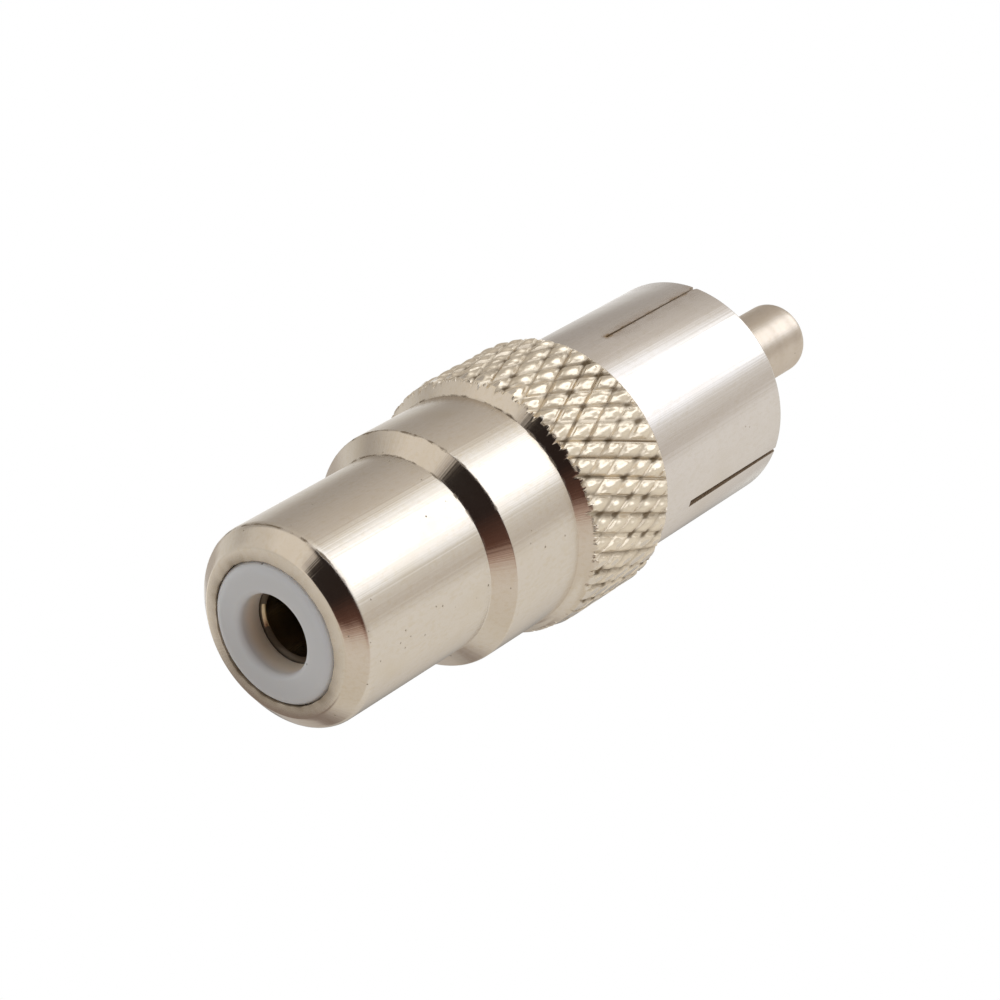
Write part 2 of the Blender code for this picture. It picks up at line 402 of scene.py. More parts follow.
class TurnedPiece:
    """A piece turned on a lathe: an outline that is spun about the axis, and then worked.

    Attributes:
        name: Name of the piece.
        steps: Facets round the axis.
    """

    name: str
    steps: int = SMALL_STEPS

    def corners(self) -> list[Corner]:
        """Corners of the outline, in order."""
        raise NotImplementedError

    def work(self, piece: bpy.types.Object) -> None:
        """Work the turned piece further. Most pieces need no more than turning."""

    def build(self) -> bpy.types.Object:
        """Draw the outline, round its corners, spin it and work the piece.

        Returns:
            The closed, smooth-shaded piece, at the origin.
        """
        corners = self.corners()
        piece = self._draw_outline(corners)
        self._round_corners(piece, corners)
        self._spin(piece)
        self.work(piece)
        return piece

    def _draw_outline(self, corners: list[Corner]) -> bpy.types.Object:
        """Extrude one vertex from corner to corner, and close the loop.

        Args:
            corners: The outline's corners. A solid piece's start and end on the axis.

        Returns:
            The outline as an object in edit mode.
        """
        bpy.ops.object.select_all(action="DESELECT")
        bpy.ops.mesh.primitive_plane_add(size=MM, location=(0, 0, 0))
        piece = bpy.context.object
        piece.name = self.name
        piece.data.name = self.name
        bpy.ops.object.mode_set(mode="EDIT")
        bpy.ops.mesh.select_mode(type="VERT")
        bpy.ops.mesh.select_all(action="SELECT")
        bpy.ops.mesh.merge(type="CENTER")
        here = corners[0].place()
        bpy.ops.transform.translate(value=here)
        for corner in corners[1:]:
            there = corner.place()
            bpy.ops.mesh.extrude_vertices_move(TRANSFORM_OT_translate={"value": there - here})
            here = there
        if corners[0].radius > 0:
            shape = bmesh.from_edit_mesh(piece.data)
            for vertex in shape.verts:
                vertex.select_set(len(vertex.link_edges) == 1)
            shape.select_flush_mode()
            bmesh.update_edit_mesh(piece.data)
            bpy.ops.mesh.edge_face_add()
        return piece

    def _round_corners(self, piece: bpy.types.Object, corners: list[Corner]) -> None:
        """Bevel each corner that has a rounding.

        Args:
            piece: The outline, in edit mode.
            corners: Its corners.
        """
        for corner in corners:
            if corner.rounding:
                select_vertices_at(piece, corner.place())
                bpy.ops.mesh.bevel(
                    offset=corner.rounding * MM,
                    segments=corner.segments,
                    profile=0.5,
                    affect="VERTICES",
                )

    def _spin(self, piece: bpy.types.Object) -> None:
        """Spin the outline about the axis and merge the seam and the poles."""
        bpy.ops.mesh.select_all(action="SELECT")
        bpy.ops.mesh.spin(
            steps=self.steps,
            angle=math.tau,
            center=(0, 0, 0),
            axis=(0, 0, 1),
            use_auto_merge=True,
        )
        bpy.ops.mesh.select_all(action="SELECT")
        bpy.ops.mesh.remove_doubles(threshold=0.0002 * MM)
        bpy.ops.mesh.normals_make_consistent(inside=False)
        bpy.ops.object.mode_set(mode="OBJECT")
        shade_smooth(piece)


@dataclass(frozen=True)
class SawCut:
    """A straight saw cut that opens one slot in a tube's end.

    Attributes:
        angle: Where round the axis it is, in degrees.
        inner_width: Width at its closed end, in millimetres.
        rim_width: Width at the rim, where the fingers are bent together.
        start: Height of its closed end.
        end: Height above the rim where the blade ends.
        reach: How far out from the axis the blade goes.
    """

    angle: float
    inner_width: float
    rim_width: float
    start: float
    end: float
    reach: float

    def cut(self, tube: bpy.types.Object) -> None:
        """Take the blade's wedge out of the tube.

        Args:
            tube: The object that is cut. Its modifiers are applied.
        """
        bpy.ops.object.select_all(action="DESELECT")
        bpy.ops.mesh.primitive_cube_add(size=1.0)
        blade = bpy.context.object
        bpy.ops.object.mode_set(mode="EDIT")
        bpy.ops.mesh.select_all(action="SELECT")
        length = self.end - self.start
        bpy.ops.transform.resize(value=(self.reach * MM, self.inner_width * MM, length * MM))
        bpy.ops.transform.translate(
            value=(self.reach / 2 * MM, 0, (self.start + length / 2) * MM)
        )
        shape = bmesh.from_edit_mesh(blade.data)
        for face in shape.faces:
            face.select_set(face.normal.z > 0.9)
        bmesh.update_edit_mesh(blade.data)
        bpy.ops.transform.resize(value=(1, self.rim_width / self.inner_width, 1))
        bpy.ops.mesh.select_all(action="SELECT")
        bpy.ops.transform.rotate(
            value=-math.radians(self.angle),
            orient_axis="Z",
            center_override=(0, 0, 0),
        )
        bpy.ops.object.mode_set(mode="OBJECT")
        select_only(tube)
        modifier = tube.modifiers.new("saw", "BOOLEAN")
        modifier.operation = "DIFFERENCE"
        modifier.solver = "EXACT"
        modifier.object = blade
        bpy.ops.object.modifier_apply(modifier=modifier.name)
        bpy.data.objects.remove(blade, do_unlink=True)


# --------------------------------------------------------------------------- finishes


@dataclass(frozen=True)
class NickelPlating:
    """Nickel plating over turned brass, as electroplated on small connectors.

    It gives a warm mirror that is blurred along the axis and sharp round it, because the
    lathe's feed marks run round the piece. Slight chatter lines along the axis fray the
    edges of what it reflects. Pits, saw cuts and knurl grooves hold brown soil, which is
    dull and isn't metal. The same dull brown is painted as shade along corners, in the
    rolled rim's crevice and on the contact's chamfer.

    Attributes:
        name: Name of the material.
        colour: Colour of the plating.
        thin_colour: Colour where the plating is thin and the brass warms it.
        soil_and_shade_colour: Colour of the soil, and of the shade that is painted with it.
        roughness: Mean roughness. It is higher along the axis and lower round it.
        chatter_lines: Chatter lines in a radian of the turn.
        chatter_height: Height of the chatter lines, in millimetres.
        mark_height: Height of the feed marks, in millimetres.
        grain_height: Height of the plating's fine grain, in millimetres.
        pit_spacing: Spacing of the small dark pits, in millimetres.
        pit_radius: Radius of the largest, in millimetres.
        shaded_corners: Heights of corners along which shade is painted as dark lines, in
            millimetres.
        corner_shade_side: Azimuth of the side where that painted shade is darkest, in degrees.
        stained_from: Height where a stain along the saw cut at -Y starts, if there is one.
        rolled_colour: Colour of a rolled surface, such as a knurl's teeth.
        rolled_roughness: Roughness of a rolled surface.
        burr_height: Height of the burrs on a rolled surface, in millimetres.
        anisotropy: How much sharper its reflections are round it than along the axis.
    """

    name: str
    colour: str = "#D8CCBB"
    thin_colour: str = "#CDBB9C"
    soil_and_shade_colour: str = "#6B5532"
    roughness: float = 0.17
    chatter_lines: float = 34.0
    chatter_height: float = 0.006
    mark_height: float = 0.0012
    grain_height: float = 0.0006
    pit_spacing: float = 0.6
    pit_radius: float = 0.07
    shaded_corners: tuple[float, ...] = ()
    corner_shade_side: float = -105.0
    stained_from: float | None = None
    rolled_colour: str = "#E8D9C0"
    rolled_roughness: float = 0.40
    burr_height: float = 0.008
    anisotropy: float = 0.9

    def build(self) -> bpy.types.Material:
        """Make the material.

        Returns:
            A Principled metal with feed marks, chatter, thin spots, soil and painted shade.
        """
        material, nodes = new_material(self.name)
        where = nodes.add("TexCoord", output="Object")
        rolled = nodes.add("Attribute", output="Fac", attribute_name="rolled")
        # Soil, with shade painted in the same dull brown along corners, in the rim's crevice
        # and on the contact's chamfer.
        soil_and_shade = self._soil_and_shade(nodes, where)
        broad = nodes.mottled(where, (1.8, 1.8, 2.6), 4.0)
        broad = nodes.add("MapRange", broad, 0.5, 0.8, 0.0, 0.4, **EASED)
        fine = nodes.mottled(where, (0.16, 0.16, 0.3), 3.0)
        fine = nodes.add("MapRange", fine, 0.4, 0.8, 0.0, 0.35, **EASED)
        colour = nodes.layered(
            linear(self.colour),
            (nodes.add("Math", broad, fine, operation="MAXIMUM"), linear(self.thin_colour)),
            (rolled, linear(self.rolled_colour)),
            (soil_and_shade, linear(self.soil_and_shade_colour)),
        )
        relief = {"Strength": 1.0, "Height": self._relief(nodes, where, rolled), "Distance": MM}
        nodes.set_shader(
            {
                "Base Color": colour,
                "Metallic": nodes.add("Math", 1.0, soil_and_shade, operation="SUBTRACT"),
                "Roughness": self._roughness(nodes, where, rolled, soil_and_shade),
                "Anisotropic": self.anisotropy,
                "Anisotropic Rotation": 0.25,
                "Tangent": nodes.add("Tangent", direction_type="RADIAL", axis="Z"),
                "Normal": nodes.add("Bump", inputs=relief),
            }
        )
        return material

    def _roughness(
        self, nodes: NodeGraph, where: Socket, rolled: Socket, soil_and_shade: Socket
    ) -> Socket:
        """Roughness of the plating, which varies in rings as the tool's feed leaves it.

        Args:
            nodes: The material's nodes.
            where: The coordinates.
            rolled: 1 where the surface is rolled.
            soil_and_shade: How much soil it has, and how much shade is painted on it.

        Returns:
            The roughness.
        """
        low, high = self.roughness * 0.9, self.roughness * 1.15
        clean = nodes.mottled(where, (9.0, 9.0, 0.5), 3.0)
        clean = nodes.add("MapRange", clean, 0.3, 0.7, low, high, **EASED)
        clean = nodes.add("Math", clean, self._on_slopes(nodes, 0.65), operation="MULTIPLY")
        extra = self.rolled_roughness - self.roughness
        for share, rougher in ((rolled, extra), (soil_and_shade, 0.3)):
            added = nodes.add("Math", share, rougher, operation="MULTIPLY")
            clean = nodes.add("Math", clean, added, operation="ADD")
        return clean

    def _relief(self, nodes: NodeGraph, where: Socket, rolled: Socket) -> Socket:
        """Height of the surface's fine marks.

        Args:
            nodes: The material's nodes.
            where: The coordinates.
            rolled: 1 where the surface is rolled.

        Returns:
            The height in millimetres.
        """
        flat = nodes.add("VectorMath", where, (1.0, 1.0, 0.0), operation="MULTIPLY")
        turn = nodes.add("VectorMath", flat, operation="NORMALIZE")
        lines = {"Scale": self.chatter_lines}
        spread = nodes.add("VectorMath", turn, inputs=lines, operation="SCALE")
        height = nodes.add("SeparateXYZ", where, output="Z")
        along = nodes.add("Math", height, per_metre(30.0)[0], operation="MULTIPLY")
        lift = nodes.add("CombineXYZ", inputs={"Z": along})
        round_it = nodes.add("VectorMath", spread, lift)
        chatter = nodes.add("TexNoise", round_it, inputs={"Scale": 1.0, "Detail": 2.0})
        strokes = nodes.add("TexNoise", round_it, inputs={"Scale": 2.5, "Detail": 1.0})
        burrs = nodes.mottled(where, (0.13, 0.13, 0.13))
        total: Any = 0.0
        for pattern, share, size in (
            (chatter, self._on_slopes(nodes, 0.25), self.chatter_height),
            (nodes.mottled(where, (4.0, 4.0, 0.07), 3.0), 1.0, self.mark_height),
            (nodes.mottled(where, (0.16, 0.16, 0.16)), 1.0, self.grain_height),
            (strokes, self._on_slopes(nodes, 3.0), self.chatter_height * 0.1),
            (burrs, rolled, self.burr_height),
        ):
            mark = nodes.add("Math", pattern, share, operation="MULTIPLY")
            mark = nodes.add("Math", mark, size, operation="MULTIPLY")
            total = nodes.add("Math", total, mark, operation="ADD")
        return total

    def _on_slopes(self, nodes: NodeGraph, share: float) -> Socket:
        """A factor for cones and end faces, which the form tool leaves smoother.

        Args:
            nodes: The material's nodes.
            share: The factor there.

        Returns:
            1 on cylinders, and the share on cones and end faces.
        """
        slope = nodes.add("SeparateXYZ", nodes.add("TexCoord", output="Normal"), output="Z")
        steep = nodes.add("Math", slope, operation="ABSOLUTE")
        return nodes.add("MapRange", steep, 0.1, 0.6, 1.0, share, **EASED)

    def _soil_and_shade(self, nodes: NodeGraph, where: Socket) -> Socket:
        """How soiled the surface is, and where shade is painted in the same brown.

        Args:
            nodes: The material's nodes.
            where: The coordinates.

        Returns:
            1 where it is fully soiled or painted with shade, and 0 where it is clean.
        """
        # Soil and painted shade that the pieces note at their vertices or faces.
        known = nodes.add("Attribute", output="Fac", attribute_name="soil_and_shade")
        pits = nodes.specks(where, self.pit_spacing, self.pit_radius)
        pits = nodes.add("Math", pits, 0.6, operation="MULTIPLY")
        soil_and_shade = nodes.add("Math", known, pits, operation="MAXIMUM")
        height = nodes.add("SeparateXYZ", where, output="Z")
        ragged = nodes.mottled(where, (0.35, 0.35, 0.35), 3.0)
        wander = nodes.add("Math", ragged, 0.12 * MM, operation="MULTIPLY")
        towards = direction(self.corner_shade_side, 0.0)
        side = nodes.add("VectorMath", where, towards, output="Value", operation="DOT_PRODUCT")
        side = nodes.add("MapRange", side, 0.0, 4.0 * MM, **EASED)
        broken = nodes.mottled(where, (0.5, 0.5, 0.5))
        broken = nodes.add("MapRange", broken, 0.45, 0.6, 0.1, 0.9, **EASED)
        broken = nodes.add("Math", broken, side, operation="MULTIPLY")
        # Painted shade: dark, ragged lines along the corners, darkest towards one side.
        for corner in self.shaded_corners:
            gap = nodes.add("Math", height, corner * MM, operation="SUBTRACT")
            gap = nodes.add("Math", gap, operation="ABSOLUTE")
            gap = nodes.add("Math", gap, wander, operation="ADD")
            line = nodes.add("MapRange", gap, 0.12 * MM, 0.06 * MM, **EASED)
            line = nodes.add("Math", line, broken, operation="MULTIPLY")
            soil_and_shade = nodes.add("Math", soil_and_shade, line, operation="MAXIMUM")
        if self.stained_from is not None:
            stain = self._stain(nodes, where, ragged)
            soil_and_shade = nodes.add("Math", soil_and_shade, stain, operation="MAXIMUM")
        return soil_and_shade

    def _stain(self, nodes: NodeGraph, where: Socket, ragged: Socket) -> Socket:
        """The brown stain along the saw cut at -Y, and the blot at its closed end.

        Args:
            nodes: The material's nodes.
            where: The coordinates.
            ragged: Noise that frays its edges.

        Returns:
            1 where it is stained and 0 where it is clean.
        """
        x, y, z = nodes.add("SeparateXYZ", where).node.outputs
        across = nodes.add("Math", x, operation="ABSOLUTE")
        fraying = nodes.add("Math", ragged, 0.3 * MM, operation="MULTIPLY")
        frayed = nodes.add("Math", across, fraying, operation="ADD")
        halo = nodes.add("MapRange", frayed, 0.85 * MM, 0.25 * MM, 0.0, 0.5, **EASED)
        line = nodes.add("MapRange", frayed, 0.34 * MM, 0.20 * MM, 0.0, 0.9, **EASED)
        stain = nodes.add("Math", halo, line, operation="MAXIMUM")
        patchy = nodes.mottled(where, (0.4, 0.4, 0.7), 3.0)
        patchy = nodes.add("MapRange", patchy, 0.35, 0.65, 0.45, 1.0, **EASED)
        stain = nodes.add("Math", stain, patchy, operation="MULTIPLY")
        up = nodes.add("Math", z, self.stained_from * MM, operation="SUBTRACT")
        above = nodes.add("MapRange", up, -0.1 * MM, 0.1 * MM, **EASED)
        stain = nodes.add("Math", stain, above, operation="MULTIPLY")
        near = nodes.add("Math", up, operation="ABSOLUTE")
        near = nodes.add("MapRange", near, 0.4 * MM, 0.1 * MM, **EASED)
        blot = nodes.add("MapRange", frayed, 0.42 * MM, 0.2 * MM, **EASED)
        blot = nodes.add("Math", blot, near, operation="MULTIPLY")
        stain = nodes.add("Math", stain, blot, operation="MAXIMUM")
        front = nodes.add("Math", y, 0.0, operation="LESS_THAN")
        return nodes.add("Math", stain, front, operation="MULTIPLY")


@dataclass(frozen=True)
class MouldedPlastic:
    """White polypropylene, injection moulded, as insulators of such connectors are.

    It is satin and lets a little light through, so its shadows are soft. Deep in the mouth
    it is painted lighter and warmer, as painted bounce light, and the face is painted a little
    darker towards one side, as painted shade.

    Attributes:
        name: Name of the material.
        colour: Colour of the plastic.
        mouth_bounce_light: Painted warm bounce light, a lighter and warmer colour deep in the
            mouth.
        speck_and_shade_colour: Colour of the specks of metal dust on it, and of the shade
            painted towards one side.
        speck_spacing: Spacing of the specks, in millimetres.
        speck_radius: Radius of the largest, in millimetres.
        painted_shade_side: Azimuth of the side that is painted darker as shade, in degrees.
    """

    name: str
    colour: str = "#D4D5D5"
    mouth_bounce_light: str = "#F4E7D6"
    speck_and_shade_colour: str = "#5A5046"
    speck_spacing: float = 0.6
    speck_radius: float = 0.07
    painted_shade_side: float = 110.0

    def build(self) -> bpy.types.Material:
        """Make the material.

        Returns:
            A satin, slightly translucent plastic with few specks.
        """
        material, nodes = new_material(self.name)
        where = nodes.add("TexCoord", output="Object")
        # Painted shade: the face is darkened towards one side, in the specks' colour.
        towards = direction(self.painted_shade_side, 0.0)
        side = nodes.add("VectorMath", where, towards, output="Value", operation="DOT_PRODUCT")
        painted_side_shade = nodes.add("MapRange", side, -0.5 * MM, 2.6 * MM, 0.0, 0.18, **EASED)
        height = nodes.add("SeparateXYZ", where, output="Z")
        # Painted bounce light: deeper in the mouth the colour turns lighter and warmer.
        deep = nodes.add("MapRange", height, 0.02 * MM, 0.7 * MM, **EASED)
        soil_and_shade = nodes.add("Attribute", output="Fac", attribute_name="soil_and_shade")
        dust = nodes.specks(where, self.speck_spacing, self.speck_radius)
        dust = nodes.add("Math", dust, 0.7, operation="MULTIPLY")
        dirt_and_shade = linear(self.speck_and_shade_colour)
        colour = nodes.layered(
            linear(self.colour),
            (painted_side_shade, dirt_and_shade),
            (deep, linear(self.mouth_bounce_light)),
            (soil_and_shade, dirt_and_shade),
            (dust, dirt_and_shade),
        )
        grain = nodes.mottled(where, (0.12, 0.12, 0.12))
        relief = {"Height": grain, "Distance": 0.002 * MM}
        nodes.set_shader(
            {
                "Base Color": colour,
                "Roughness": nodes.add("MapRange", grain, 0.2, 0.8, 0.38, 0.52, **EASED),
                "IOR": 1.49,
                "Subsurface Weight": 0.5,
                "Subsurface Radius": (1.0, 0.9, 0.75),
                "Subsurface Scale": 0.5 * MM,
                "Normal": nodes.add("Bump", inputs=relief),
            }
        )
        return material


# --------------------------------------------------------------------------- pieces


# Each tooth and crossing of the knurl draws from a table by a key made of its row and
# column. The table's length is a prime, so that neighbours don't repeat.
KEYS = 997
ROW_KEY = 31
COLUMN_KEY = 17


@dataclass(frozen=True)
class DiamondKnurl:
    """Two opposite helices of grooves rolled into the collar.

    Attributes:
        first_row: Height of a row where grooves cross, in millimetres.
        row_pitch: Height between such rows.
        depths: Depths of the rising and the falling helix.
        half_widths: Half the width of each helix's grooves, as a share of their pitch.
        crown: How much a tooth's flat falls off towards its grooves.
        uneven: How much the teeth's heights and tilts differ.
        seed: Seed of the irregularities.
    """

    first_row: float
    row_pitch: float = 1.0
    depths: tuple[float, float] = (0.30, 0.26)
    half_widths: tuple[float, float] = (0.29, 0.25)
    crown: float = 0.045
    uneven: float = 0.10
    seed: int = 4

    def press(self, angles: np.ndarray, heights: np.ndarray) -> tuple[np.ndarray, np.ndarray]:
        """Depth below the blank and soil of each point.

        Args:
            angles: Angles round the axis, in degrees.
            heights: Heights along the axis, in millimetres.

        Returns:
            The depth in millimetres, and the soil from 0 to 1.
        """
        random = np.random.default_rng(self.seed)
        rising = self._phase(angles, heights, 1)
        falling = self._phase(angles, heights, -1)
        grooves, shares, domes = [], [], []
        for phase, depth, half in zip((rising, falling), self.depths, self.half_widths):
            number = np.round(phase).astype(int) % KNURL_GROOVES
            wander = random.uniform(-0.07, 0.07, KNURL_GROOVES)[number]
            offset = np.abs(phase - np.round(phase) - wander)
            share = np.clip(1 - offset / half, 0, 1)
            scored = 0.035 * np.sin(share * 9 + number) * share * (1 - share) * 4
            deep = random.uniform(0.62, 1.08, KNURL_GROOVES)[number]
            grooves.append(share * depth * deep + scored)
            shares.append(share)
            domes.append((1 - np.clip((offset - half) / (0.5 - half), 0, 1)) ** 2)
        row, column = np.floor(rising).astype(int), np.floor(falling).astype(int)
        tooth = (row * ROW_KEY + column * COLUMN_KEY) % KEYS
        lower = random.uniform(0, 1, KEYS)[tooth]
        tilts = random.uniform(-1, 1, (2, KEYS))[:, tooth]
        flat = self.crown * (domes[0] + domes[1]) + self.uneven * 0.5 * lower
        lean = tilts[0] * (rising - row - 0.5) + tilts[1] * (falling - column - 0.5)
        flat = flat + self.uneven * np.abs(lean)
        depth = np.maximum(flat, np.maximum(*grooves))
        crossing = shares[0] * shares[1]
        corner = np.round(rising) * ROW_KEY + np.round(falling) * COLUMN_KEY
        corner = corner.astype(int) % KEYS
        filled = random.uniform(0.0, 1.0, KEYS)[corner] ** 1.5
        dusty = random.uniform(0.1, 0.75, KEYS)[tooth]
        spread = np.maximum(shares[0], 0.6 * shares[1])
        soil_and_shade = dusty * spread + 1.9 * crossing * filled
        return depth, np.clip(soil_and_shade, 0, 0.95)

    def _phase(self, angles: np.ndarray, heights: np.ndarray, way: int) -> np.ndarray:
        """Where each point is across one helix's grooves, in groove pitches.

        Args:
            angles: Angles round the axis, in degrees.
            heights: Heights along the axis, in millimetres.
            way: 1 for the helix that rises with the angle, and -1 for the other.

        Returns:
            The phase. It is a whole number in the middle of a groove.
        """
        pitch = 360 / KNURL_GROOVES
        turn = way * (heights - self.first_row) / self.row_pitch * pitch / 2
        return (angles - turn - pitch / 2) / pitch


@dataclass
class JackShell(TurnedPiece):
    """The turned body: rolled rim, bevelled nose, barrel, shoulder and plain body.

    Attributes:
        rim_height: Height of the rim over the insulator's face.
        rim_tilt: How much lower its inner edge is, and how much higher its outer edge.
        lip_land: Length of the rim's edge over the insulator.
        lip_end: Length of the rim with the taper behind it.
        overlap: How far the plain body runs into the collar.
        end: Height of its rear face, from the frame.
        core_radius: Radius inside the knurled collar, where it isn't seen.
    """

    name: str = "turned_body"
    steps: int = BODY_STEPS
    rim_height: float = 0.16
    end: float = from_frame("jack_body", HIGHEST)
    core_radius: float = 4.86
    barrel_radius: float = 4.15
    body_radius: float = 4.95
    rim_inner_radius: float = 2.91
    rim_outer_radius: float = 3.43
    nose_end: float = 0.85
    rim_tilt: float = 0.035
    lip_land: float = 0.10
    lip_end: float = 0.44
    shoulder_start: float = 7.87
    shoulder_end: float = 8.54
    collar_start: float = 12.41
    overlap: float = 0.02
    bore_radius: float = 3.01
    counterbore_radius: float = 4.66
    counterbore_depth: float = 4.35
    web_radius: float = 2.76
    web_length: float = 2.0

    def corners(self) -> list[Corner]:
        """Outline of the body: outside from the rim to the collar, then its bores.

        Returns:
            The corners.
        """
        rim = self.rim_height
        nose_radius = (self.rim_outer_radius + self.barrel_radius) / 2
        nose_height = (rim + self.rim_tilt + self.nose_end) / 2
        body_end = self.collar_start + self.overlap
        web_end = self.end - self.counterbore_depth
        return [
            Corner(self.rim_inner_radius, rim - self.rim_tilt, 0.04, 3),
            Corner(self.rim_outer_radius, rim + self.rim_tilt, 0.06, 3),
            Corner(nose_radius, nose_height, 0.2, 6),
            Corner(self.barrel_radius, self.nose_end, 0.18, 6),
            Corner(self.barrel_radius, self.shoulder_start, 0.03, 2),
            Corner(self.body_radius, self.shoulder_end, 0.05, 3),
            Corner(self.body_radius, body_end),
            Corner(self.core_radius, body_end),
            Corner(self.core_radius, self.end),
            Corner(self.counterbore_radius, self.end),
            Corner(self.counterbore_radius, web_end),
            Corner(self.web_radius, web_end),
            Corner(self.web_radius, web_end - self.web_length),
            Corner(self.bore_radius, web_end - self.web_length),
            Corner(self.bore_radius, rim + self.lip_end),
            Corner(self.rim_inner_radius, rim + self.lip_land),
        ]

    def work(self, piece: bpy.types.Object) -> None:
        """Make the rolled edge a little uneven, as a press leaves it, and paint shade into the
        crevice at its inner edge, darkest on two sides where it is lifted.
        """
        points = coordinates(piece)
        radii, angles = radii_and_angles(points)
        turns = np.radians(angles)
        wave = 0.4 * np.sin(3 * turns + 0.6) + 0.35 * np.sin(11 * turns + 2.0)
        wave += 0.25 * np.sin(29 * turns + 1.0)
        lifted = smooth_step(np.cos(turns - math.radians(80)), 0.2, 0.85)
        lifted = np.maximum(lifted, 0.7 * smooth_step(np.cos(turns + 2.6), 0.7, 0.97))
        near = 1 - smooth_step(radii, self.rim_inner_radius, self.rim_inner_radius + 0.2)
        near *= 1 - smooth_step(points[:, 2] / MM, 0.5, 0.8)
        moved = radii + (0.03 * (wave - 0.5) + 0.04 * lifted) * near
        points[:, :2] *= (moved / np.maximum(radii, 1e-6))[:, None]
        move_vertices(piece, points)
        # Painted shade in the crevice between the rim and the bush, darkest where the rim is
        # lifted.
        soil_and_shade = near * (0.25 + 0.65 * lifted) * (0.7 + 0.3 * wave)
        note(piece, "soil_and_shade", np.clip(soil_and_shade, 0, 0.9))


